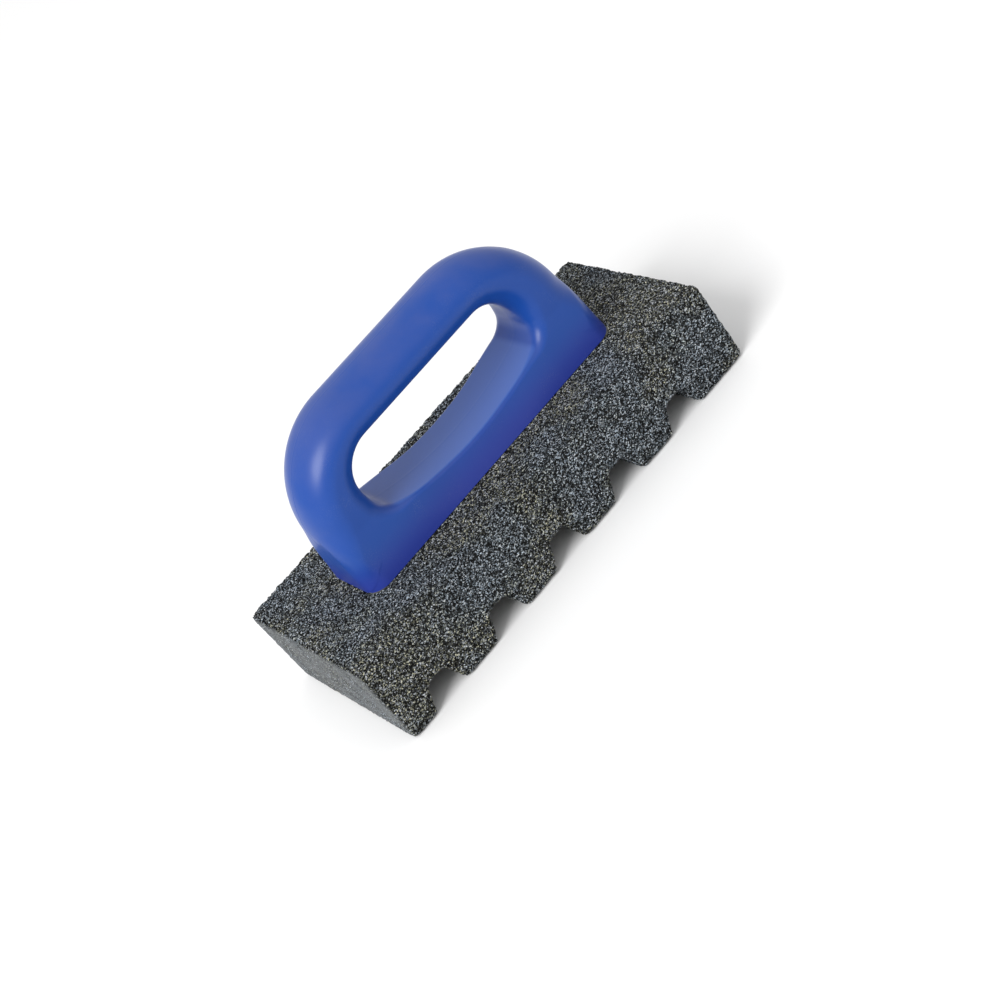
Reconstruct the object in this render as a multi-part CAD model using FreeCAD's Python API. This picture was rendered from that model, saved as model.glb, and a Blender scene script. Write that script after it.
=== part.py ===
"""Fluted rubbing brick: a coarse silicon-carbide brick with a moulded loop handle on its back.

Frame: +X along the brick, +Y across it, +Z up out of the brick's back, in millimetres.
The origin is the centre of the working face, which lies on Z = 0.
"""
import FreeCAD
import Part
import math
import os

# Brick: a nominal 8 x 3 1/2 x 1 1/2 inch block with flutes across its working face.
BRICK_LENGTH = 203.2
BRICK_WIDTH = 89.0
BRICK_HEIGHT = 39.0
UPRIGHT_EDGE_RADIUS = 2.5
BACK_EDGE_RADIUS = 1.5
FLUTE_COUNT = 5
FLUTE_PITCH = 36.2
FLUTE_MIDDLE_X = -7.1       # the middle flute lies off the brick's centre
FLUTE_DEPTH = 11.8
FLUTE_MOUTH = 17.6
FLUTE_ROOT = 8.4
FLUTE_CORNER_RADIUS = 1.2

# Handle: a closed loop standing on a long flat foot.
HANDLE_X = 1.3              # the handle's centre along the brick
BEDDING_THICKNESS = 0.4
FOOT_Z = BRICK_HEIGHT + BEDDING_THICKNESS
LOOP_TOP_Z = 104.9
LOOP_HALF_LENGTH = 72.2     # at the foot
LOOP_HALF_THICKNESS = 16.2
LOOP_SHOULDER_RADIUS = 40.0
LEG_LEAN_DEGREES = 2.3      # the legs lean inwards as they rise
OUTER_ROUNDING = 10.0

# Finger hole through the loop.
HOLE_HALF_LENGTH = 46.6
HOLE_TOP_Z = 83.6
HOLE_BOTTOM_Z = 51.5        # lowest point, in the middle
HOLE_SAG_RADIUS = 138.0     # the hole's floor is a long shallow arc
HOLE_UPPER_RADIUS = 14.8
HOLE_LOWER_RADIUS = 10.0
HOLE_ROUNDING = 9.0

# Foot: flares out towards the brick.
FOOT_HALF_WIDTH = 19.3
FOOT_FLARE_TOP_Z = 56.0
FOOT_CORNER_RADIUS = 6.0
FOOT_TUCK = 0.6             # the foot's upper rim ends this far inside the loop's surface
FOOT_LIP = 0.3              # at the brick the foot stands this far outside the legs

# Fixings: two screws come up through the brick into inserts in the foot.
SCREW_SPACING = 90.0
SCREW_RADIUS = 2.5
SCREW_LENGTH = 30.0
SCREW_HOLE_RADIUS = 2.75
HEAD_RADIUS = 4.75
HEAD_HEIGHT = 2.75
HEX_SOCKET_ACROSS = 3.0
HEX_SOCKET_DEPTH = 1.6
WASHER_RADIUS = 5.0
WASHER_BORE_RADIUS = 2.65
WASHER_THICKNESS = 1.0
COUNTERBORE_RADIUS = 6.0
LEDGE_Z = 22.0              # the step in the hole that carries the washer
INSERT_RADIUS = 4.0
INSERT_LENGTH = 12.0
INSERT_GROOVE_DEPTH = 0.5
INSERT_GROOVE_WIDTH = 1.6
INSERT_POCKET_DEPTH = 13.5
BEDDING_INSET = 0.7
BEDDING_HOLE_RADIUS = 3.2

UP = FreeCAD.Vector(0, 0, 1)
SCREW_XS = [HANDLE_X - SCREW_SPACING / 2, HANDLE_X + SCREW_SPACING / 2]


def side_point(x, z, y):
    return FreeCAD.Vector(x, y, z)


def arc_edge(centre, radius, start, middle, end, y):
    """An arc in the XZ plane through three angles in degrees."""
    points = []
    for angle in (start, middle, end):
        x = centre[0] + radius * math.cos(math.radians(angle))
        z = centre[1] + radius * math.sin(math.radians(angle))
        points.append(side_point(x, z, y))
    return Part.Arc(*points).toShape()


def line_edge(start, end, y):
    return Part.LineSegment(side_point(*start, y), side_point(*end, y)).toShape()


def rod(radius, x, z_low, z_high):
    return Part.makeCylinder(radius, z_high - z_low, FreeCAD.Vector(x, 0, z_low), UP)


def edges_along(shape, direction, keep):
    """Straight edges of shape that run along direction and whose middle passes keep."""
    found = []
    for edge in shape.Edges:
        if len(edge.Vertexes) != 2:
            continue
        run = edge.Vertexes[1].Point - edge.Vertexes[0].Point
        straight = abs(edge.Length - run.Length) < 1e-6
        if straight and abs(abs(run.normalize().dot(direction)) - 1) < 1e-6:
            if keep(edge.CenterOfMass):
                found.append(edge)
    return found


def flute_xs():
    middle = (FLUTE_COUNT - 1) / 2
    return [FLUTE_MIDDLE_X + (i - middle) * FLUTE_PITCH for i in range(FLUTE_COUNT)]


def make_brick():
    """A block with rounded arrises, five tapered flutes and two stepped screw holes."""
    half_length, half_width = BRICK_LENGTH / 2, BRICK_WIDTH / 2
    outline = [(-half_length, BRICK_HEIGHT), (-half_length, 0)]
    for x in flute_xs():
        outline.append((x - FLUTE_MOUTH / 2, 0))
        outline.append((x - FLUTE_ROOT / 2, FLUTE_DEPTH))
        outline.append((x + FLUTE_ROOT / 2, FLUTE_DEPTH))
        outline.append((x + FLUTE_MOUTH / 2, 0))
    outline += [(half_length, 0), (half_length, BRICK_HEIGHT)]
    points = [side_point(x, z, -half_width) for x, z in outline]
    face = Part.Face(Part.makePolygon(points + points[:1]))
    brick = face.extrude(FreeCAD.Vector(0, BRICK_WIDTH, 0))
    across = edges_along(brick, FreeCAD.Vector(0, 1, 0), lambda p: p.z < BRICK_HEIGHT / 2)
    brick = brick.makeFillet(FLUTE_CORNER_RADIUS, across)
    upright = edges_along(brick, UP, lambda p: abs(p.x) > half_length - 1)
    brick = brick.makeFillet(UPRIGHT_EDGE_RADIUS, upright)
    back = [e for e in brick.Edges if abs(e.BoundBox.ZMin - BRICK_HEIGHT) < 1e-6]
    brick = brick.makeFillet(BACK_EDGE_RADIUS, back)
    for x in SCREW_XS:
        brick = brick.cut(rod(SCREW_HOLE_RADIUS, x, -1, BRICK_HEIGHT + 1))
        brick = brick.cut(rod(COUNTERBORE_RADIUS, x, -1, LEDGE_Z))
    return brick


def loop_outline(y):
    """Outside of the loop: foot line, two leaning legs, two shoulders and the top."""
    lean = math.radians(LEG_LEAN_DEGREES)
    centre_z = LOOP_TOP_Z - LOOP_SHOULDER_RADIUS
    low = LOOP_HALF_LENGTH - FOOT_LIP
    leg_x_at_centre = low - (centre_z - FOOT_Z) * math.tan(lean)
    centre_x = leg_x_at_centre - LOOP_SHOULDER_RADIUS / math.cos(lean)
    touch_x = centre_x + LOOP_SHOULDER_RADIUS * math.cos(lean)
    touch_z = centre_z + LOOP_SHOULDER_RADIUS * math.sin(lean)
    radius, angle = LOOP_SHOULDER_RADIUS, LEG_LEAN_DEGREES
    return Part.Wire([
        line_edge((-low, FOOT_Z), (low, FOOT_Z), y),
        line_edge((low, FOOT_Z), (touch_x, touch_z), y),
        arc_edge((centre_x, centre_z), radius, angle, 45, 90, y),
        line_edge((centre_x, LOOP_TOP_Z), (-centre_x, LOOP_TOP_Z), y),
        arc_edge((-centre_x, centre_z), radius, 90, 135, 180 - angle, y),
        line_edge((-touch_x, touch_z), (-low, FOOT_Z), y),
    ])


def hole_outline(y):
    """Finger hole: flat top, rounded ends and a long sagging floor, all tangent."""
    upper_x = HOLE_HALF_LENGTH - HOLE_UPPER_RADIUS
    upper_z = HOLE_TOP_Z - HOLE_UPPER_RADIUS
    lower_x = HOLE_HALF_LENGTH - HOLE_LOWER_RADIUS
    sag_z = HOLE_BOTTOM_Z + HOLE_SAG_RADIUS
    reach = HOLE_SAG_RADIUS - HOLE_LOWER_RADIUS
    lower_z = sag_z - math.sqrt(reach ** 2 - lower_x ** 2)
    touch = math.degrees(math.atan2(lower_z - sag_z, lower_x))
    end = HOLE_HALF_LENGTH
    return Part.Wire([
        line_edge((-upper_x, HOLE_TOP_Z), (upper_x, HOLE_TOP_Z), y),
        arc_edge((upper_x, upper_z), HOLE_UPPER_RADIUS, 90, 45, 0, y),
        line_edge((end, upper_z), (end, lower_z), y),
        arc_edge((lower_x, lower_z), HOLE_LOWER_RADIUS, 0, touch / 2, touch, y),
        arc_edge((0, sag_z), HOLE_SAG_RADIUS, touch, -90, -180 - touch, y),
        arc_edge((-lower_x, lower_z), HOLE_LOWER_RADIUS, 180 - touch, 180 - touch / 2, 180, y),
        line_edge((-end, lower_z), (-end, upper_z), y),
        arc_edge((-upper_x, upper_z), HOLE_UPPER_RADIUS, 180, 135, 90, y),
    ])


def prism(wire, thickness):
    return Part.Face(wire).extrude(FreeCAD.Vector(0, thickness, 0))


def rounded_rectangle(half_length, half_width, radius, z):
    """A flat wire with rounded corners, centred on the handle's own axis."""
    block = Part.makeBox(2 * half_length, 2 * half_width, 1,
                         FreeCAD.Vector(-half_length, -half_width, z))
    corners = edges_along(block, UP, lambda p: True)
    block = block.makeFillet(radius, corners)
    flat = [f for f in block.Faces if abs(f.BoundBox.ZMax - z) < 1e-6]
    return flat[0].OuterWire


def foot_wire(z, inset=0.0):
    """Plan of the foot at height z: it narrows from the brick up into the loop."""
    share = (z - FOOT_Z) / (FOOT_FLARE_TOP_Z - FOOT_Z)
    lean = (z - FOOT_Z) * math.tan(math.radians(LEG_LEAN_DEGREES)) + share * (FOOT_TUCK + FOOT_LIP)
    half_width = FOOT_HALF_WIDTH + share * (LOOP_HALF_THICKNESS - FOOT_TUCK - FOOT_HALF_WIDTH)
    radius = FOOT_CORNER_RADIUS + share * (OUTER_ROUNDING - FOOT_CORNER_RADIUS)
    return rounded_rectangle(LOOP_HALF_LENGTH - lean - inset, half_width - inset, radius - inset, z)


def make_handle():
    """The loop with soft edges, joined to a flared foot, with pockets for the inserts."""
    front, thickness = -LOOP_HALF_THICKNESS, 2 * LOOP_HALF_THICKNESS
    loop = prism(loop_outline(front), thickness)
    edges = [e for e in loop.Edges if e.BoundBox.YLength < 1e-6 and e.BoundBox.ZMax > FOOT_Z + 1]
    loop = loop.makeFillet(OUTER_ROUNDING, edges)
    hole = prism(hole_outline(-FOOT_HALF_WIDTH - 1), 2 * (FOOT_HALF_WIDTH + 1))
    loop = loop.cut(hole)
    edges = [e for e in loop.Edges
             if abs(abs(e.CenterOfMass.y) - LOOP_HALF_THICKNESS) < 1e-6
             and e.BoundBox.XMax < HOLE_HALF_LENGTH + 1e-3
             and e.BoundBox.XMin > -HOLE_HALF_LENGTH - 1e-3
             and e.BoundBox.ZMax < HOLE_TOP_Z + 1e-3]
    loop = loop.makeFillet(HOLE_ROUNDING, edges)
    foot = Part.makeLoft([foot_wire(FOOT_Z), foot_wire(FOOT_FLARE_TOP_Z)], True, True)
    handle = loop.fuse(foot.cut(hole)).removeSplitter()
    handle.translate(FreeCAD.Vector(HANDLE_X, 0, 0))
    for x in SCREW_XS:
        handle = handle.cut(rod(INSERT_RADIUS, x, FOOT_Z - 1, FOOT_Z + INSERT_POCKET_DEPTH))
    return handle


def make_bedding():
    """Epoxy bed under the foot, set in a little from its edge, with screw clearances."""
    bed = Part.Face(foot_wire(FOOT_Z, BEDDING_INSET)).extrude(UP * BEDDING_THICKNESS)
    bed.translate(FreeCAD.Vector(HANDLE_X, 0, -BEDDING_THICKNESS))
    for x in SCREW_XS:
        bed = bed.cut(rod(BEDDING_HOLE_RADIUS, x, BRICK_HEIGHT - 1, FOOT_Z + 1))
    return bed


def make_insert(x):
    """Threaded brass insert with two retaining grooves round it, flush with the foot."""
    insert = rod(INSERT_RADIUS, x, FOOT_Z, FOOT_Z + INSERT_LENGTH)
    for share in (0.35, 0.7):
        low = FOOT_Z + share * INSERT_LENGTH - INSERT_GROOVE_WIDTH / 2
        ring = rod(INSERT_RADIUS + 1, x, low, low + INSERT_GROOVE_WIDTH)
        ring = ring.cut(rod(INSERT_RADIUS - INSERT_GROOVE_DEPTH, x, low, low + INSERT_GROOVE_WIDTH))
        insert = insert.cut(ring)
    return insert.cut(rod(SCREW_RADIUS, x, FOOT_Z - 1, FOOT_Z + INSERT_LENGTH + 1))


def make_washer(x):
    washer = rod(WASHER_RADIUS, x, LEDGE_Z - WASHER_THICKNESS, LEDGE_Z)
    return washer.cut(rod(WASHER_BORE_RADIUS, x, LEDGE_Z - 2 * WASHER_THICKNESS, LEDGE_Z + 1))


def make_screw(x):
    """Button-head screw, head down, with a hexagon socket."""
    under_head = LEDGE_Z - WASHER_THICKNESS
    head = rod(HEAD_RADIUS, x, under_head - HEAD_HEIGHT, under_head)
    rim = [e for e in head.Edges if abs(e.BoundBox.ZMax - (under_head - HEAD_HEIGHT)) < 1e-6]
    head = head.makeFillet(0.7 * HEAD_HEIGHT, rim)
    corner = HEX_SOCKET_ACROSS / math.sqrt(3)
    points = []
    for i in range(7):
        angle = math.radians(60 * i)
        points.append(FreeCAD.Vector(x + corner * math.cos(angle), corner * math.sin(angle),
                                     under_head - HEAD_HEIGHT - 1))
    socket = Part.Face(Part.makePolygon(points)).extrude(UP * (HEX_SOCKET_DEPTH + 1))
    shank = rod(SCREW_RADIUS, x, under_head, under_head + SCREW_LENGTH)
    tip = [e for e in shank.Edges if abs(e.BoundBox.ZMin - (under_head + SCREW_LENGTH)) < 1e-6]
    shank = shank.makeChamfer(0.5, tip)
    return head.cut(socket).fuse(shank)


def main():
    nodes = {
        "abrasive_brick": make_brick(),
        "handle": make_handle(),
        "handle_bedding": make_bedding(),
        "threaded_inserts": Part.makeCompound([make_insert(x) for x in SCREW_XS]),
        "handle_screws": Part.makeCompound([make_screw(x) for x in SCREW_XS]),
        "screw_washers": Part.makeCompound([make_washer(x) for x in SCREW_XS]),
    }
    os.makedirs("parts", exist_ok=True)
    for name, shape in nodes.items():
        box = shape.BoundBox
        print(name, "valid", shape.isValid(), "solids", len(shape.Solids),
              "volume %.0f" % shape.Volume,
              "box %.1f..%.1f %.1f..%.1f %.1f..%.1f" % (
                  box.XMin, box.XMax, box.YMin, box.YMax, box.ZMin, box.ZMax))
        shape.exportStep("parts/%s.step" % name)


main()
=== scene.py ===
"""Fluted rubbing brick with a moulded loop handle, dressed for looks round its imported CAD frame."""
import itertools
import math

import bpy
import numpy as np
from mathutils import Matrix, Vector


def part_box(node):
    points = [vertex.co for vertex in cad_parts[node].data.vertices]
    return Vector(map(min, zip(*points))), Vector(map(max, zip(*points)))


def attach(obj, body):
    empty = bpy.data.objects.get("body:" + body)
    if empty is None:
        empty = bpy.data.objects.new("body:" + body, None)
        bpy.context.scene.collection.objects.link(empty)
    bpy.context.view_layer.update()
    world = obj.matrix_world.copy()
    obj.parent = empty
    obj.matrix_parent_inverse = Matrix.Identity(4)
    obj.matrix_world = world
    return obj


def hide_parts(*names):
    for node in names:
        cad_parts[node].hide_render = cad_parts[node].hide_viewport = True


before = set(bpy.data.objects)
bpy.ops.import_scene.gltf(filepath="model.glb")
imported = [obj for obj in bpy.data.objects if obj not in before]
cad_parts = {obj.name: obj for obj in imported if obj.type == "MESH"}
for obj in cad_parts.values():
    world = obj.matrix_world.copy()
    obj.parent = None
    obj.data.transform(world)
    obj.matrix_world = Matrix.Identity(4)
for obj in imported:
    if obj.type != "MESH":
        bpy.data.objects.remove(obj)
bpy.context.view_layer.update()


# Camera: a longish lens held well above the tool and off its near end, rolled to one side so
# that the brick runs up the view from lower left to upper right.
CAMERA_PLACE = Vector((-0.1991, -0.6516, 0.4466))
CAMERA_AIM = Vector((-0.0033, 0.0, 0.0169))
CAMERA_ROLL = math.radians(-39.96)
LENS_MM = 73.1
SENSOR_MM = 36.0
NEAR_CLIP = 0.01

camera_data = bpy.data.cameras.new("camera")
camera_data.lens = LENS_MM
camera_data.sensor_width = SENSOR_MM
camera_data.clip_start = NEAR_CLIP
camera = bpy.data.objects.new("camera", camera_data)
look = (CAMERA_AIM - CAMERA_PLACE).to_track_quat("-Z", "Y").to_matrix()
camera.matrix_world = Matrix.LocRotScale(
    CAMERA_PLACE, (look @ Matrix.Rotation(CAMERA_ROLL, 3, "Z")).to_quaternion(), None)
bpy.context.collection.objects.link(camera)
bpy.context.scene.camera = camera


# Abrasive brick: coarse black silicon-carbide grit pressed and fired in a glassy bond. It is
# open-grained and matt, its arrises crumble a little, and its two pressed ends are finer and paler.
MESH_SPACING = 0.00085      # between the mesh's points
MESH_JOG = 0.3              # how far a point strays sideways, as a share of that
JOG_SEED = 11
ARRIS_ROUNDS = 2            # of relaxing, which rounds the arrises
ARRIS_WEAR = 0.7            # share of that rounding which the wear takes
ARRIS_PATCH = 0.0045        # the wear changes from patch to patch of this size
ARRIS_SEED = 3
ARRIS_DEPTH = 0.00025       # relaxing moves a point this far on a full arris
ARRIS_CRUMBLE = 1.4         # extra relief along the arrises
CORNER_WEAR = 0.0024        # radius of the worn upright corners
LUMP_SIZE = 0.0010          # of one lump in the modelled relief
LUMP_SEED = 5
LUMP_TABLE = 64             # the lumps repeat after this many
GRIT_RELIEF = 0.0007
END_RELIEF_SHARE = 0.6      # relief on the pressed ends, as a share of that elsewhere
END_BAND = 0.0035           # the ends' finish starts this far in
END_FADE = 0.002            # and is full this much further out
BED_DEPTH = 0.002           # the back stays smooth to this depth under the foot
GRIT_SIZE = 0.00048         # of one coloured grain
CHIPS_PER_GRAIN = 2.3
GRIT_BUMP = 0.8
GRIT_BUMP_DEPTH = 0.0005
TINT_SCALE = 32.0           # of the olive and bluish stretches
END_DUST_SCALE = 90.0
GRIT_SPECULAR = 0.10
# GRIT_BLACK is the black grains' own colour, and also the colour of the painted shade in gaps and
# hollows
GRIT_BLACK = (0.006, 0.006, 0.006, 1.0)
GRIT_TONES_AND_GLINTS = [              # from the darkest grains to the palest; the last stop is a painted glint, a highlight put into the colour
    (0.30, GRIT_BLACK),
    (0.44, (0.026, 0.028, 0.027, 1.0)),
    (0.60, (0.110, 0.119, 0.124, 1.0)),
    (0.78, (0.385, 0.418, 0.455, 1.0)),
    (0.90, (0.800, 0.830, 0.860, 1.0)),
]
OLIVE_TINT = (1.0, 0.93, 0.66, 1.0)
BLUE_TINT = (0.74, 0.87, 1.0, 1.0)
END_DUST = (0.215, 0.228, 0.236, 1.0)


def feed(tree, socket, value):
    """Links a socket to another one, or sets it to a plain value."""
    if isinstance(value, bpy.types.NodeSocket):
        tree.links.new(value, socket)
    else:
        socket.default_value = value


def add(tree, kind, settings=None, **sockets):
    """A shader node with its settings; an underscore in a socket's name stands for a space."""
    made = tree.nodes.new("ShaderNode" + kind)
    for name, value in (settings or {}).items():
        setattr(made, name, value)
    for name, value in sockets.items():
        feed(tree, made.inputs[name.replace("_", " ")], value)
    return made


def reckon(tree, operation, first, second, third=0.0, clamp=False):
    """Arithmetic on two values, or on three where the operation takes three."""
    made = add(tree, "Math", {"operation": operation, "use_clamp": clamp})
    for socket, value in zip(made.inputs, (first, second, third)):
        feed(tree, socket, value)
    return made.outputs[0]


def blend_colour(tree, share, first, second, way="MIX"):
    """Second colour laid over the first by share; 6, 7 and 2 are the Mix node's colour sockets."""
    made = add(tree, "Mix", {"data_type": "RGBA", "blend_type": way, "clamp_factor": True})
    feed(tree, made.inputs[0], share)
    feed(tree, made.inputs[6], first)
    feed(tree, made.inputs[7], second)
    return made.outputs[2]


def ramp(tree, value, stops):
    """Colour ramp through (place, colour) stops."""
    made = add(tree, "ValToRGB", Fac=value)
    elements = made.color_ramp.elements
    while len(elements) < len(stops):
        elements.new(0.5)
    for element, (place, colour) in zip(elements, stops):
        element.position = place
        element.color = colour
    return made.outputs["Color"]


def step_up(tree, value, low, high):
    """0 at low, 1 at high, smooth between and level beyond; low may be above high."""
    return add(tree, "MapRange", {"interpolation_type": "SMOOTHSTEP"},
               Value=value, From_Min=low, From_Max=high).outputs["Result"]


def one_less(tree, value):
    """1 less the value."""
    return reckon(tree, "SUBTRACT", 1.0, value)


def new_material(name):
    """An empty node material, its tree, its Principled shader and its object coordinates."""
    material = bpy.data.materials.new(name)
    material.use_nodes = True
    tree = material.node_tree
    tree.nodes.clear()
    shader = tree.nodes.new("ShaderNodeBsdfPrincipled")
    output = tree.nodes.new("ShaderNodeOutputMaterial")
    tree.links.new(shader.outputs[0], output.inputs[0])
    return material, tree, shader, add(tree, "TexCoord").outputs["Object"]


def bump(tree, height, strength, distance, under=None):
    """Normals of a surface with this relief, on top of other normals if they are given."""
    made = add(tree, "Bump", Strength=strength, Distance=distance, Height=height)
    if under is not None:
        feed(tree, made.inputs["Normal"], under)
    return made.outputs["Normal"]


def stone_material():
    """Grains of mixed tones with painted glints, painted shade in the gaps between grains and in the
    relief's hollows, in tinted stretches, dusty on the ends.
    """
    material, tree, shader, place = new_material("fired_grit")
    grains = add(tree, "TexVoronoi", Vector=place, Scale=1.0 / GRIT_SIZE)
    grain = add(tree, "SeparateColor", Color=grains.outputs["Color"]).outputs
    chips = add(tree, "TexVoronoi", Vector=place, Scale=CHIPS_PER_GRAIN / GRIT_SIZE)
    chip = add(tree, "SeparateColor", Color=chips.outputs["Color"]).outputs
    tone = reckon(tree, "ADD", reckon(tree, "MULTIPLY", grain[0], 0.85),
                  reckon(tree, "MULTIPLY", chip[0], 0.15))
    face = ramp(tree, tone, GRIT_TONES_AND_GLINTS)

    zone = add(tree, "TexNoise", Vector=place, Scale=TINT_SCALE, Detail=2.0).outputs["Fac"]
    olive = reckon(tree, "MULTIPLY", step_up(tree, grain[1], 0.5, 0.7),
                   step_up(tree, zone, 0.62, 0.42))
    face = blend_colour(tree, olive, face, OLIVE_TINT, "MULTIPLY")
    blue = reckon(tree, "MULTIPLY", step_up(tree, chip[1], 0.5, 0.7),
                  step_up(tree, zone, 0.38, 0.58))
    face = blend_colour(tree, blue, face, BLUE_TINT, "MULTIPLY")

    # Painted shade in the crevices between grains: each grain darkens towards its border, where the
    # bump sinks too.
    border = add(tree, "TexVoronoi", {"feature": "DISTANCE_TO_EDGE"},
                 Vector=place, Scale=1.0 / GRIT_SIZE).outputs["Distance"]
    body = step_up(tree, border, 0.0, 0.16)
    gap = reckon(tree, "MULTIPLY", one_less(tree, body), 0.8)
    face = blend_colour(tree, gap, face, GRIT_BLACK)
    # Painted shade: the colour darkens towards black where the modelled relief sinks deepest.
    recess_shade = add(tree, "Attribute", {"attribute_name": "recess_shade"}).outputs["Fac"]
    shade = reckon(tree, "MULTIPLY", step_up(tree, recess_shade, 0.4, 1.0), 0.45)
    face = blend_colour(tree, shade, face, GRIT_BLACK)

    end = add(tree, "Attribute", {"attribute_name": "end_face"}).outputs["Fac"]
    cloud = add(tree, "TexNoise", Vector=place, Scale=END_DUST_SCALE, Detail=3.0).outputs["Fac"]
    patchy = reckon(tree, "ADD", reckon(tree, "MULTIPLY", grain[1], 0.45),
                    reckon(tree, "MULTIPLY", step_up(tree, cloud, 0.15, 0.75), 0.55))
    film = reckon(tree, "MULTIPLY", end, patchy, clamp=True)
    feed(tree, shader.inputs["Base Color"], blend_colour(tree, film, face, END_DUST))

    chipped = reckon(tree, "ADD", reckon(tree, "MULTIPLY", chip[2], 0.3),
                     reckon(tree, "MULTIPLY", body, 0.6))
    height = reckon(tree, "ADD", reckon(tree, "MULTIPLY", grain[2], 0.7), chipped)
    feed(tree, shader.inputs["Normal"], bump(tree, height, GRIT_BUMP, GRIT_BUMP_DEPTH))
    feed(tree, shader.inputs["Roughness"],
         reckon(tree, "SUBTRACT", 0.95, reckon(tree, "MULTIPLY", chip[0], 0.4)))
    shader.inputs["Specular IOR Level"].default_value = GRIT_SPECULAR
    return material


def nearest_lumps(points, size, seed):
    """Distance from each point to the nearest lump's centre and to the next, and that lump's share.

    The distances are in lumps, and the share is a random value from 0 to 1.
    """
    table = np.random.default_rng(seed).random((LUMP_TABLE, LUMP_TABLE, LUMP_TABLE, 4))
    scaled = points / size
    home = np.floor(scaled).astype(int)
    first = np.full(len(points), np.inf)
    second = np.full(len(points), np.inf)
    share = np.zeros(len(points))
    for step in itertools.product((-1, 0, 1), repeat=3):
        cell = home + step
        entry = table[tuple((cell % LUMP_TABLE).T)]
        gap = np.linalg.norm(cell + entry[:, :3] - scaled, axis=1)
        nearer = gap < first
        second = np.where(nearer, first, np.minimum(second, gap))
        share = np.where(nearer, entry[:, 3], share)
        first = np.where(nearer, gap, first)
    return first, second, share


def mesh_points(mesh):
    points = np.empty(len(mesh.vertices) * 3)
    mesh.vertices.foreach_get("co", points)
    return points.reshape(-1, 3)


def mesh_edges(mesh):
    edges = np.empty(len(mesh.edges) * 2, dtype=np.int32)
    mesh.edges.foreach_get("vertices", edges)
    return edges.reshape(-1, 2)


def mesh_normals(mesh):
    normals = np.empty(len(mesh.vertices) * 3, dtype=np.float32)
    mesh.vertex_normals.foreach_get("vector", normals)
    return normals.reshape(-1, 3).astype(float)


def set_points(mesh, points):
    mesh.vertices.foreach_set("co", points.ravel())
    mesh.update()


def relaxed(points, edges, rounds):
    """Each point moved to the mean of its neighbours, rounds times."""
    count = np.bincount(edges.ravel(), minlength=len(points))[:, None]
    for _ in range(rounds):
        total = np.zeros_like(points)
        for axis in range(3):
            total[:, axis] = (np.bincount(edges[:, 0], points[edges[:, 1], axis], len(points))
                              + np.bincount(edges[:, 1], points[edges[:, 0], axis], len(points)))
        points = total / count
    return points


def fine_block():
    """A copy of the CAD block on an even fine mesh."""
    block = bpy.data.objects.new("rubbing_brick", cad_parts["abrasive_brick"].data.copy())
    bpy.context.collection.objects.link(block)
    grid = block.modifiers.new("grid", "REMESH")
    grid.mode = "VOXEL"
    grid.voxel_size = MESH_SPACING
    bpy.context.view_layer.update()
    shown = block.evaluated_get(bpy.context.evaluated_depsgraph_get())
    mesh = bpy.data.meshes.new_from_object(shown)
    block.modifiers.clear()
    block.data = mesh
    return block


def worn(points, edges, high):
    """The points with arrises and upright corners worn, and how much of an arris each one is."""
    soft = relaxed(points, edges, ARRIS_ROUNDS)
    patchy = nearest_lumps(points, ARRIS_PATCH, ARRIS_SEED)[2]
    arris = np.clip(np.linalg.norm(soft - points, axis=1) / ARRIS_DEPTH, 0, 1)
    points = points + (soft - points) * (ARRIS_WEAR * (0.4 + 1.2 * patchy))[:, None]
    corner = np.array([high.x - CORNER_WEAR, high.y - CORNER_WEAR])
    past = (np.abs(points[:, :2]) - corner).clip(0)
    pull = np.minimum(1, CORNER_WEAR / np.maximum(np.hypot(past[:, 0], past[:, 1]), 1e-9))
    cut = past.min(axis=1) > 0
    points[cut, :2] = np.sign(points[cut, :2]) * (corner + past[cut] * pull[cut, None])
    return points, arris


def grain_depth(points, normals, arris, high):
    """Each point's depth in the broken surface, in GRIT_RELIEFs, and how far it is on an end."""
    first, second, share = nearest_lumps(points, LUMP_SIZE, LUMP_SEED)
    hollow = np.clip((share - 0.78) / 0.22, 0, 1)
    crevice = np.clip(1 - (second - first) / 0.35, 0, 1)
    depth = 0.55 * (share - 0.25).clip(0, 1) + 0.35 * crevice + 0.6 * hollow
    at_end = np.clip((np.abs(normals[:, 0]) - 0.8) / 0.15, 0, 1)
    at_end *= np.clip((np.abs(points[:, 0]) - (high.x - END_BAND)) / END_FADE, 0, 1)
    depth *= 1 - (1 - END_RELIEF_SHARE) * at_end
    depth *= 1 + ARRIS_CRUMBLE * arris
    foot_low, foot_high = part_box("handle")
    bedded = ((points[:, 0] > foot_low.x) & (points[:, 0] < foot_high.x)
              & (np.abs(points[:, 1]) < foot_high.y) & (points[:, 2] > high.z - BED_DEPTH))
    depth[bedded] = 0
    return depth, at_end


def make_brick():
    """The CAD block, with its arrises crumbled and its faces broken up into grains."""
    low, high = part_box("abrasive_brick")
    brick = fine_block()
    mesh = brick.data
    points, arris = worn(mesh_points(mesh), mesh_edges(mesh), high)
    set_points(mesh, points)
    normals = mesh_normals(mesh)
    depth, at_end = grain_depth(points, normals, arris, high)
    jog = np.random.default_rng(JOG_SEED).uniform(-MESH_JOG, MESH_JOG, points.shape) * MESH_SPACING
    jog -= normals * np.sum(jog * normals, axis=1)[:, None]
    points = points + jog - normals * (GRIT_RELIEF * depth)[:, None]
    set_points(mesh, np.clip(points, np.array(low), np.array(high)))
    # The relief's depth is kept for painting shade into its hollows.
    mesh.attributes.new("recess_shade", "FLOAT", "POINT").data.foreach_set("value", depth.clip(0, 1))
    mesh.attributes.new("end_face", "FLOAT", "POINT").data.foreach_set("value", at_end)
    mesh.shade_flat()
    mesh.materials.clear()
    mesh.materials.append(stone_material())
    return brick


brick = make_brick()
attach(brick, "root")
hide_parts("abrasive_brick")


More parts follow.
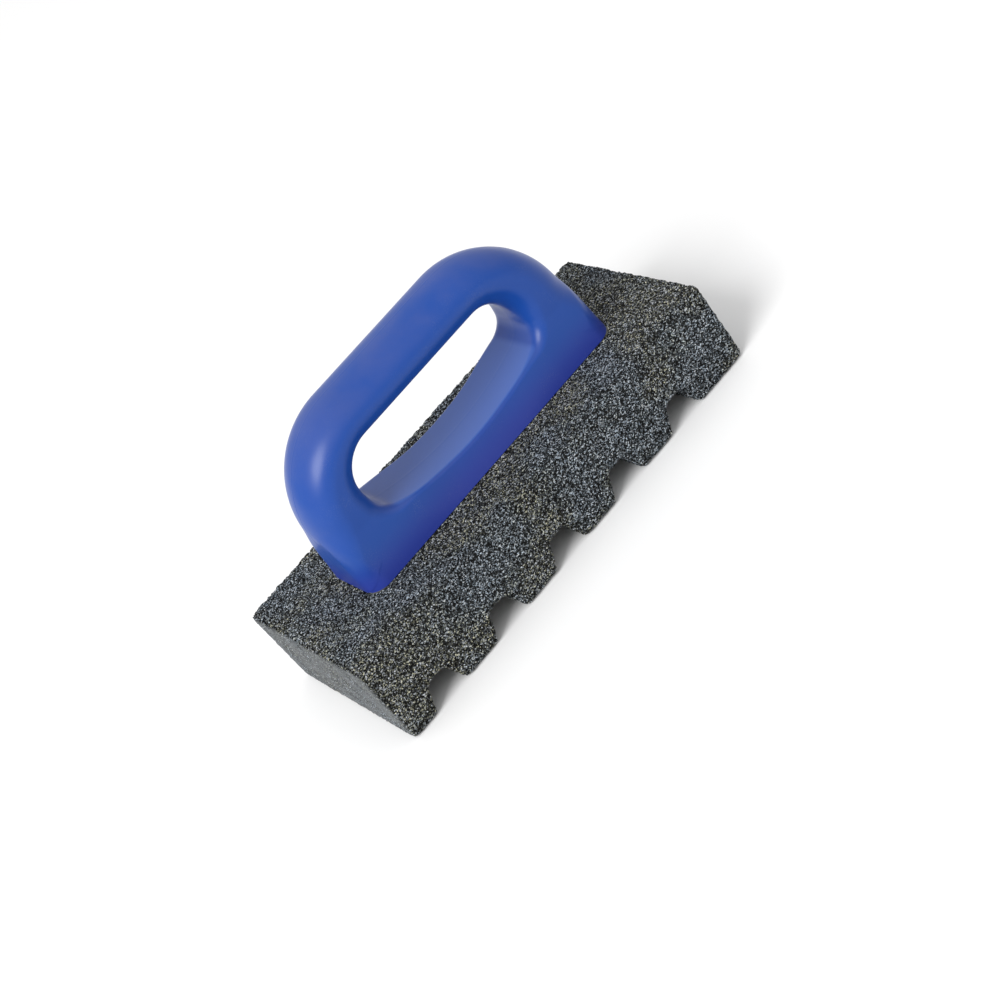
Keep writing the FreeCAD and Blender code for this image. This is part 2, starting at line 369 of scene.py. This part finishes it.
# Washers: two flat steel rings, stamped from sheet and zinc-plated. Each lies on the ledge in one
# of the brick's stepped screw holes and spreads the screw's pull over the brittle stone.
ZINC = (0.60, 0.61, 0.60, 1.0)
ZINC_WARM = (0.50, 0.49, 0.42, 1.0)
ZINC_CLOUD_SCALE = 420.0
DUST_COLOUR = (0.30, 0.31, 0.31, 1.0)
DUST_SPECK_SCALE = 2600.0


def dust_group():
    """Fine pale stone dust settled in patches: a mask for its colour, a height for its bump."""
    group = bpy.data.node_groups.new("stone_dust", "ShaderNodeTree")
    for label, kind in (("Place", "Vector"), ("Patch Size", "Float"), ("Cover", "Float")):
        group.interface.new_socket(label, in_out="INPUT", socket_type="NodeSocket" + kind)
    for label in ("Mask", "Height"):
        group.interface.new_socket(label, in_out="OUTPUT", socket_type="NodeSocketFloat")
    takes = group.nodes.new("NodeGroupInput").outputs
    gives = group.nodes.new("NodeGroupOutput").inputs
    patches = add(group, "TexNoise", Vector=takes["Place"], Detail=5.0, Roughness=0.62,
                  Scale=reckon(group, "DIVIDE", 1.0, takes["Patch Size"]))
    specks = add(group, "TexNoise", Vector=takes["Place"], Scale=DUST_SPECK_SCALE, Detail=1.0)
    speck = step_up(group, specks.outputs["Fac"], 0.5, 0.72)
    lying = reckon(group, "MULTIPLY", step_up(group, patches.outputs["Fac"], 0.45, 0.8), speck)
    feed(group, gives["Mask"], reckon(group, "MULTIPLY", lying, takes["Cover"], clamp=True))
    feed(group, gives["Height"], speck)
    return group


def lay_dust(tree, place, patch_size, cover, colour):
    """The colour with stone dust lying on it, and the dust's mask and height."""
    dust = add(tree, "Group", {"node_tree": stone_dust},
               Place=place, Patch_Size=patch_size, Cover=cover).outputs
    return blend_colour(tree, dust["Mask"], colour, DUST_COLOUR), dust["Mask"], dust["Height"]


def zinc_material():
    """Dull clouded plating, with stone dust where the tool has been used."""
    material, tree, shader, place = new_material("zinc_plate")
    cloud = add(tree, "TexNoise", Vector=place, Scale=ZINC_CLOUD_SCALE, Detail=4.0).outputs["Fac"]
    plate = blend_colour(tree, step_up(tree, cloud, 0.4, 0.7), ZINC, ZINC_WARM)
    dusty, mask, height = lay_dust(tree, place, 0.004, 0.8, plate)
    feed(tree, shader.inputs["Base Color"], dusty)
    feed(tree, shader.inputs["Metallic"], one_less(tree, mask))
    feed(tree, shader.inputs["Roughness"], reckon(tree, "MULTIPLY_ADD", cloud, 0.25, 0.25))
    feed(tree, shader.inputs["Normal"], bump(tree, height, 0.15, 0.0002))
    return material


def finish_node(name, material):
    """Gives a CAD node that stays in view its real finish."""
    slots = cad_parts[name].data.materials
    if len(slots) == 0:
        slots.append(material)
    for number in range(len(slots)):
        slots[number] = material


stone_dust = dust_group()
zinc = zinc_material()
finish_node("screw_washers", zinc)


# Screws: two M5 button-head screws of the same zinc-plated steel, cold headed and thread rolled.
# They are driven up from the working face, through the brick, into the handle's inserts.
finish_node("handle_screws", zinc)


# Threaded inserts: two bushes turned from brass bar, which take the screws. They are pressed warm
# into pockets in the handle's foot, and the plastic grips the grooves round them.
BRASS = (0.72, 0.50, 0.20, 1.0)
BRASS_TARNISH = (0.40, 0.27, 0.12, 1.0)
BRASS_CLOUD_SCALE = 600.0


def brass_material():
    """Bright turned brass with clouds of brown tarnish."""
    material, tree, shader, place = new_material("turned_brass")
    cloud = add(tree, "TexNoise", Vector=place, Scale=BRASS_CLOUD_SCALE, Detail=2.0).outputs["Fac"]
    feed(tree, shader.inputs["Base Color"],
         blend_colour(tree, step_up(tree, cloud, 0.45, 0.75), BRASS, BRASS_TARNISH))
    feed(tree, shader.inputs["Roughness"], reckon(tree, "MULTIPLY_ADD", cloud, 0.3, 0.2))
    shader.inputs["Metallic"].default_value = 1.0
    return material


finish_node("threaded_inserts", brass_material())


# Bedding: a thin bed of dark filled epoxy, spread on the brick's rough back before the handle goes
# on. It evens out the stone under the foot and shows only as a joint line.
EPOXY = (0.050, 0.050, 0.046, 1.0)
EPOXY_PALE = (0.11, 0.11, 0.10, 1.0)
EPOXY_LUMP_SCALE = 900.0
EPOXY_ROUGHNESS = 0.7


def epoxy_material():
    """Lumpy dull epoxy with stone dust stuck to it."""
    material, tree, shader, place = new_material("filled_epoxy")
    lumps = add(tree, "TexNoise", Vector=place, Scale=EPOXY_LUMP_SCALE, Detail=4.0).outputs["Fac"]
    bed = blend_colour(tree, lumps, EPOXY, EPOXY_PALE)
    feed(tree, shader.inputs["Base Color"], lay_dust(tree, place, 0.006, 0.7, bed)[0])
    feed(tree, shader.inputs["Normal"], bump(tree, lumps, 0.4, 0.0003))
    shader.inputs["Roughness"].default_value = EPOXY_ROUGHNESS
    return material


finish_node("handle_bedding", epoxy_material())


# Handle: one injection moulding in mid-blue plastic, an oval-sectioned loop that swells into a
# long foot with a flat bottom. The mould halves meet on its middle plane, where a fine line shows.
HALF_LENGTH = 0.0721
LEAN = math.radians(2.0)
SHOULDER_RADIUS = 0.0401
LOOP_TOP_DROP = 0.0001      # room for the mould line above the loop
HOLE_HALF_LENGTH = 0.0466
HOLE_TOP = 0.0836
HOLE_BOTTOM = 0.0515
HOLE_SAG_RADIUS = 0.138
HOLE_UPPER_RADIUS = 0.0148
HOLE_LOWER_RADIUS = 0.0092
HOLE_EDGE_RADIUS = 0.0016   # along the middle of the hole's floor
HOLE_SQUARING = (0.030, 0.082)  # run round the hole over which its edge turns crisp
HALF_THICKNESS = 0.0163
FOOT_WAIST = 0.0154         # half the width of the hole's floor, in the middle
FOOT_WAIST_RUN = (0.012, 0.046)  # along the foot, from that waist to the legs
FOOT_WAIST_RISE = (0.016, 0.030)  # above the base, from that waist to the full thickness
FLARE_RISE_MIDDLE = 0.0145  # height over which the foot's long sides draw in
FLARE_RISE_LEG = 0.024
FLARE_POWER = 1.25
END_FLAT_RISE = 0.030       # the foot's flat ends reach this far up the legs
END_FLAT_SLOPE = 0.45
END_FLAT_EASE = 0.006
END_EDGE_RADIUS = 0.0020    # where a flat end starts
END_EDGE_EASE = 0.004       # over which that edge grows in
FOOT_CORNER_RADIUS = 0.0085  # at the bottom
FOOT_CORNER_START = 0.003   # it grows from this far below the top of a flat end
FOOT_CORNER_FULL = 0.004    # to its full size this far above the base
TURN_RISE = 0.014           # the stations fan round the foot's corner from this far up the leg
TURN_RUN = 0.020            # to this far along the foot
MOULD_LINE = 0.00006
MOULD_LINE_START = 0.0005   # above the base
SHARP_ANGLE = math.radians(35)

GRIP_STATIONS = 34
SHOULDER_STATIONS = 46
LEG_STATIONS = 18
TURN_RISE_STATIONS = 17
TURN_RUN_STATIONS = 23
FOOT_STATIONS = 44
FACE_SAMPLES = 500          # along a section's side face, before its points are spaced out
WALL_SAMPLES = 40           # along its flat inner and outer walls
INNER_POINTS = 60           # in a finished half section
OUTER_POINTS = 24
BEND_WEIGHT = 0.004         # a bend of one radian draws as many points as this length

PLASTIC_BLUE = (0.007, 0.056, 0.298, 1.0)
# Painted reflection: the violet laid low on the foot, where the stone reflects in the plastic.
PLASTIC_STONE_REFLECTION = (0.026, 0.036, 0.280, 1.0)
# Painted sheen: the paler blue laid on upward faces in patches.
PLASTIC_TOP_SHEEN = (0.048, 0.080, 0.285, 1.0)
# Painted light: the paler blue laid on the upward faces of the hole's floor.
PLASTIC_FLOOR_LIGHT = (0.060, 0.125, 0.400, 1.0)
STONE_REFLECTION_HEIGHTS = (0.040, 0.056)  # the foot's painted violet reflection of the stone fades out between these
HOLE_FLOOR_HEIGHTS = (0.062, 0.072)  # and the painted light on its upward faces between these
CLOUD_SCALE = 38.0
FLOW_SCALE = 140.0
SKIN_SCALE = 3200.0
PLASTIC_IOR = 1.5
PLASTIC_SPECULAR = 0.32

handle_low, handle_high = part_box("handle")
BASE = handle_low.z
TOP = handle_high.z - LOOP_TOP_DROP
SHOULDER_Z = TOP - SHOULDER_RADIUS
SHOULDER_X = HALF_LENGTH - (SHOULDER_Z - BASE) * math.tan(LEAN) - SHOULDER_RADIUS / math.cos(LEAN)
HOLE_SHOULDER_X = HOLE_HALF_LENGTH - HOLE_UPPER_RADIUS
HOLE_SHOULDER_Z = HOLE_TOP - HOLE_UPPER_RADIUS
SAG_Z = HOLE_BOTTOM + HOLE_SAG_RADIUS
CORNER_X = HOLE_HALF_LENGTH - HOLE_LOWER_RADIUS
CORNER_Z = SAG_Z - math.sqrt((HOLE_SAG_RADIUS - HOLE_LOWER_RADIUS) ** 2 - CORNER_X ** 2)


def smooth(value, low, high):
    """0 below low, 1 above high, smooth between."""
    share = np.clip((value - low) / (high - low), 0, 1)
    return share * share * (3 - 2 * share)


def straight(start, end, count):
    """count + 1 points from start to end."""
    share = np.linspace(0, 1, count + 1)[:, None]
    return np.array(start) * (1 - share) + np.array(end) * share


def curved(centre, radius, start, end, count):
    """count + 1 points along an arc, from one angle to another."""
    angle = np.linspace(start, end, count + 1)
    return np.stack([centre[0] + radius * np.cos(angle), centre[1] + radius * np.sin(angle)], axis=1)


def loop_stations():
    """Inner and outer outline points of the loop's right half, paired, with a running place.

    The place runs 0 to 1 along half the grip, to 2 round the shoulder, to 3 down the leg,
    to 4 round the foot's corner and to 5 along half the foot.
    """
    right = math.pi / 2
    touch = math.atan2(CORNER_Z - SAG_Z, CORNER_X)
    hole_shoulder = (HOLE_SHOULDER_X, HOLE_SHOULDER_Z)
    shoulder = curved((SHOULDER_X, SHOULDER_Z), SHOULDER_RADIUS, right, LEAN, SHOULDER_STATIONS)
    leg_end = (HALF_LENGTH - TURN_RISE * math.tan(LEAN), BASE + TURN_RISE)
    foot_corner = (HALF_LENGTH, BASE)
    foot_start = (HALF_LENGTH - TURN_RUN, BASE)
    turn = np.concatenate([straight(leg_end, foot_corner, TURN_RISE_STATIONS),
                           straight(foot_corner, foot_start, TURN_RUN_STATIONS)[1:]])
    pairs = [
        (straight((0, HOLE_TOP), (HOLE_SHOULDER_X, HOLE_TOP), GRIP_STATIONS),
         straight((0, TOP), (SHOULDER_X, TOP), GRIP_STATIONS)),
        (curved(hole_shoulder, HOLE_UPPER_RADIUS, right, 0, SHOULDER_STATIONS), shoulder),
        (straight((HOLE_HALF_LENGTH, HOLE_SHOULDER_Z), (HOLE_HALF_LENGTH, CORNER_Z), LEG_STATIONS),
         straight(shoulder[-1], leg_end, LEG_STATIONS)),
        (curved((CORNER_X, CORNER_Z), HOLE_LOWER_RADIUS, 0, touch, len(turn) - 1), turn),
        (curved((0, SAG_Z), HOLE_SAG_RADIUS, touch, -right, FOOT_STATIONS),
         straight(foot_start, (0, BASE), FOOT_STATIONS)),
    ]
    inner, outer, place = [], [], []
    for number, (inside, outside) in enumerate(pairs):
        inner.append(inside[:-1])
        outer.append(outside[:-1])
        place.append(number + np.arange(len(inside) - 1) / (len(inside) - 1))
    inner.append(pairs[-1][0][-1:])
    outer.append(pairs[-1][1][-1:])
    place.append([len(pairs)])
    return np.concatenate(inner), np.concatenate(outer), np.concatenate(place)


def depth_from_outside(x, z):
    """Distance inwards from the loop's outer outline, its flat bottom left out."""
    leg = (HALF_LENGTH - x - (z - BASE) * math.tan(LEAN)) * math.cos(LEAN)
    shoulder = SHOULDER_RADIUS - np.hypot(x - SHOULDER_X, z - SHOULDER_Z)
    above_leg = z - SHOULDER_Z > (x - SHOULDER_X) * math.tan(LEAN)
    depth = np.where(above_leg, np.where(x > SHOULDER_X, shoulder, TOP - z), leg)
    return depth.clip(0)


def depth_from_hole(x, z):
    """Distance outwards from the hole's outline."""
    upper = np.hypot(x - HOLE_SHOULDER_X, z - HOLE_SHOULDER_Z) - HOLE_UPPER_RADIUS
    lower = np.hypot(x - CORNER_X, z - CORNER_Z) - HOLE_LOWER_RADIUS
    floor = np.hypot(x, z - SAG_Z) - HOLE_SAG_RADIUS
    over_floor = x * (SAG_Z - CORNER_Z) < CORNER_X * (SAG_Z - z)
    above = np.where(x > HOLE_SHOULDER_X, upper, z - HOLE_TOP)
    below = np.where(over_floor, floor, lower)
    side = np.where(z > CORNER_Z, x - HOLE_HALF_LENGTH, below)
    return np.where(z > HOLE_SHOULDER_Z, above, side).clip(0)


def half_width(x, z):
    """Half the loop's thickness there: the foot's long sides flare towards the brick."""
    near_leg = smooth(np.abs(x), *FOOT_WAIST_RUN)
    waist = FOOT_WAIST + (HALF_THICKNESS - FOOT_WAIST) * near_leg
    rise = FLARE_RISE_MIDDLE + (FLARE_RISE_LEG - FLARE_RISE_MIDDLE) * near_leg
    flare = (1 - (z - BASE) / rise).clip(0, 1) ** FLARE_POWER
    above = smooth(z, BASE + FOOT_WAIST_RISE[0], BASE + FOOT_WAIST_RISE[1])
    return (waist + (HALF_THICKNESS - waist) * above) + (handle_high.y - waist) * flare


def rounding(depth, radius):
    """How far a round edge has fallen away at this depth, as a share of its full drop."""
    near = (1 - depth / np.maximum(radius, 1e-6)).clip(0, 1)
    return 1 - np.sqrt(1 - near * near)


def spaced(points, count):
    """count + 1 points along a polyline, closer together where it bends."""
    apart = np.linalg.norm(np.diff(points, axis=0), axis=1) > 1e-7
    points = points[np.concatenate([[True], apart])]
    steps = np.diff(points, axis=0)
    lengths = np.linalg.norm(steps, axis=1)
    ways = steps / lengths[:, None]
    bends = np.arccos((ways[1:] * ways[:-1]).sum(axis=1).clip(-1, 1))
    run = np.concatenate([[0], np.cumsum(lengths + BEND_WEIGHT * np.concatenate([[0], bends]))])
    wanted = np.linspace(0, run[-1], count + 1)
    return np.stack([np.interp(wanted, run, points[:, axis]) for axis in range(3)], axis=1)


def side_face(x, z, run, bar):
    """How far the loop's side stands off its middle plane, from the hole to the outer outline."""
    width = half_width(x, z)
    squared = smooth(run, *HOLE_SQUARING)
    hole_radius = bar + (HOLE_EDGE_RADIUS - bar) * squared
    hole_drop = width + (HOLE_EDGE_RADIUS - width) * squared
    down = (BASE + END_FLAT_RISE - z).clip(0)
    grown = smooth(down, FOOT_CORNER_START, END_FLAT_RISE - FOOT_CORNER_FULL)
    corner = END_EDGE_RADIUS * smooth(down, 0, END_EDGE_EASE)
    corner += (FOOT_CORNER_RADIUS - END_EDGE_RADIUS) * grown
    outer = depth_from_outside(x, z)
    beyond = END_FLAT_SLOPE * down ** 2 / (down + END_FLAT_EASE)
    y = width * (1 - rounding(outer + beyond, bar))
    y -= hole_drop * rounding(depth_from_hole(x, z), hole_radius) + corner * rounding(outer, corner)
    return y.clip(0)


def half_section(inside, outside, place, run, bar):
    """One half of the loop's section at a station, from its inner middle to its outer middle.

    run is the way round the hole to the station, and bar is the radius of the loop's round edges.
    As far as mid-leg, the section's second stretch starts on its outer round, and after that at
    its outer edge.
    """
    share = (1 - np.cos(np.linspace(0, math.pi, FACE_SAMPLES))) / 2
    x = inside[0] + (outside[0] - inside[0]) * share
    z = inside[1] + (outside[1] - inside[1]) * share
    y = side_face(x, z, run, bar)
    faces = np.stack([x, y, z], axis=1)
    split = len(y) - 1
    if place < 2.5:
        turned = max(y[-1], (0.5 - 0.35 * smooth(place, 1.2, 2.0)) * HALF_THICKNESS)
        split = int(np.flatnonzero(y >= turned)[-1])
    floor = straight((x[0], 0, z[0]), faces[0], WALL_SAMPLES)
    wall = straight(faces[-1], (x[-1], 0, z[-1]), WALL_SAMPLES)
    first = np.concatenate([floor[:-1], faces[:split + 1]])
    second = np.concatenate([faces[split:], wall[1:]])
    return np.concatenate([spaced(first, INNER_POINTS), spaced(second, OUTER_POINTS)[1:]])


def loop_mesh():
    """Points and faces of the whole loop, ring by ring, and the points of its mould line."""
    inner, outer, places = loop_stations()
    runs = np.concatenate([[0], np.cumsum(np.linalg.norm(np.diff(inner, axis=0), axis=1))])
    right = []
    for inside, outside, place, run in zip(inner, outer, places, runs):
        if place <= 2:
            x, z = (inside + outside) / 2
            bar = (depth_from_hole(x, z) + depth_from_outside(x, z)) / 2
        right.append(half_section(inside, outside, place, run, bar))
    right = np.array(right)
    halves = np.concatenate([right, right[::-1][1:-1] * (-1, 1, 1)])
    rings = np.concatenate([halves, halves[:, ::-1][:, 1:-1] * (1, -1, 1)], axis=1)
    around, across = rings.shape[:2]
    points = rings.reshape(-1, 3) + ((handle_low.x + handle_high.x) / 2, 0, 0)
    index = np.arange(around * across).reshape(around, across)
    ahead = np.roll(index, -1, axis=0)
    faces = np.stack([index, np.roll(index, -1, axis=1), np.roll(ahead, -1, axis=1), ahead], axis=-1)
    return points, faces.reshape(-1, 4), index[:, [0, right.shape[1] - 1]]


def plastic_material():
    """Smooth blue plastic, with a painted violet reflection of the stone low down, a painted sheen
    paling its upward faces in patches, and painted light paling the hole's floor.
    """
    material, tree, shader, place = new_material("blue_moulding")
    cloud = add(tree, "TexNoise", Vector=place, Scale=CLOUD_SCALE, Detail=3.0).outputs["Fac"]
    facing = add(tree, "NewGeometry").outputs["Normal"]
    upward = add(tree, "SeparateXYZ", Vector=facing).outputs["Z"]
    height = add(tree, "SeparateXYZ", Vector=place).outputs["Z"]
    # Painted sheen: faces that look up are paled in cloudy patches.
    top_sheen = reckon(tree, "MULTIPLY", step_up(tree, cloud, 0.3, 0.65),
                    step_up(tree, upward, 0.1, 0.9))
    colour = blend_colour(tree, reckon(tree, "MULTIPLY", top_sheen, 0.55),
                          PLASTIC_BLUE, PLASTIC_TOP_SHEEN)
    # Painted reflection of the stone: the foot turns violet low down, near the brick.
    low = one_less(tree, step_up(tree, height, *STONE_REFLECTION_HEIGHTS))
    colour = blend_colour(tree, reckon(tree, "MULTIPLY", low, 0.75), colour, PLASTIC_STONE_REFLECTION)
    # Painted light: the upward faces low in the hole are paled.
    inside = one_less(tree, step_up(tree, height, *HOLE_FLOOR_HEIGHTS))
    floor_light = reckon(tree, "MULTIPLY", step_up(tree, upward, 0.80, 0.98), inside)
    colour = blend_colour(tree, floor_light, colour, PLASTIC_FLOOR_LIGHT)
    feed(tree, shader.inputs["Base Color"], lay_dust(tree, place, 0.012, 0.10, colour)[0])

    skin = add(tree, "TexNoise", Vector=place, Scale=SKIN_SCALE, Detail=2.0).outputs["Fac"]
    flow = add(tree, "TexNoise", Vector=place, Scale=FLOW_SCALE, Detail=2.0).outputs["Fac"]
    fine = bump(tree, skin, 0.05, 0.0001)
    feed(tree, shader.inputs["Normal"], bump(tree, flow, 0.04, 0.001, fine))
    feed(tree, shader.inputs["Roughness"], reckon(tree, "MULTIPLY_ADD", cloud, 0.14, 0.25))
    shader.inputs["IOR"].default_value = PLASTIC_IOR
    shader.inputs["Specular IOR Level"].default_value = PLASTIC_SPECULAR
    return material


def make_handle():
    """The loop as one closed mesh, with its mould line raised."""
    points, faces, seam = loop_mesh()
    mesh = bpy.data.meshes.new("handle_loop")
    mesh.from_pydata(points.tolist(), [], faces.tolist())
    mesh.update()
    seam = seam[points[seam][:, :, 2] > BASE + MOULD_LINE_START]
    points[seam] += mesh_normals(mesh)[seam] * MOULD_LINE
    set_points(mesh, points)
    mesh.shade_smooth()
    mesh.set_sharp_from_angle(angle=SHARP_ANGLE)
    mesh.materials.append(plastic_material())
    handle = bpy.data.objects.new("handle_loop", mesh)
    bpy.context.collection.objects.link(handle)
    return handle


handle = make_handle()
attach(handle, "root")
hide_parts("handle")


# Floor and light: a plain white floor under a pale sky that dims towards the horizon, with one
# large soft key light high up beyond the tool's near end.
FLOOR_HALF = 4.0
FLOOR_WHITE = (0.86, 0.86, 0.86, 1.0)
FLOOR_ROUGHNESS = 0.9
SKY_OVERHEAD = (1.0, 1.0, 1.0, 1.0)
SKY_LOW = (0.76, 0.76, 0.76, 1.0)
SKY_STRENGTH = 0.87
KEY_PLACE = Vector((-3.1, -1.35, 2.9))
KEY_AIM = Vector((0, 0, 0.04))
KEY_SIZE = 2.6
KEY_WATTS = 160.0


def make_floor():
    mesh = bpy.data.meshes.new("floor")
    ends = (-FLOOR_HALF, FLOOR_HALF)
    mesh.from_pydata([(x, y, 0) for x in ends for y in ends], [], [(0, 2, 3, 1)])
    material, _, shader, _ = new_material("white_floor")
    shader.inputs["Base Color"].default_value = FLOOR_WHITE
    shader.inputs["Roughness"].default_value = FLOOR_ROUGHNESS
    mesh.materials.append(material)
    floor = bpy.data.objects.new("floor", mesh)
    bpy.context.collection.objects.link(floor)
    return floor


def make_key_light():
    data = bpy.data.lights.new("key_light", "AREA")
    data.shape = "DISK"
    data.size = KEY_SIZE
    data.energy = KEY_WATTS
    light = bpy.data.objects.new("key_light", data)
    turn = (KEY_AIM - KEY_PLACE).to_track_quat("-Z", "Y")
    light.matrix_world = Matrix.LocRotScale(KEY_PLACE, turn, None)
    bpy.context.collection.objects.link(light)


def make_sky():
    world = bpy.data.worlds.new("studio")
    world.use_nodes = True
    tree = world.node_tree
    sky = tree.nodes["Background"]
    way = add(tree, "TexCoord").outputs["Generated"]
    up = step_up(tree, add(tree, "SeparateXYZ", Vector=way).outputs["Z"], 0.0, 0.75)
    feed(tree, sky.inputs["Color"], blend_colour(tree, up, SKY_LOW, SKY_OVERHEAD))
    sky.inputs["Strength"].default_value = SKY_STRENGTH
    bpy.context.scene.world = world


make_floor()
make_key_light()
make_sky()
bpy.context.scene.view_settings.view_transform = "Standard"
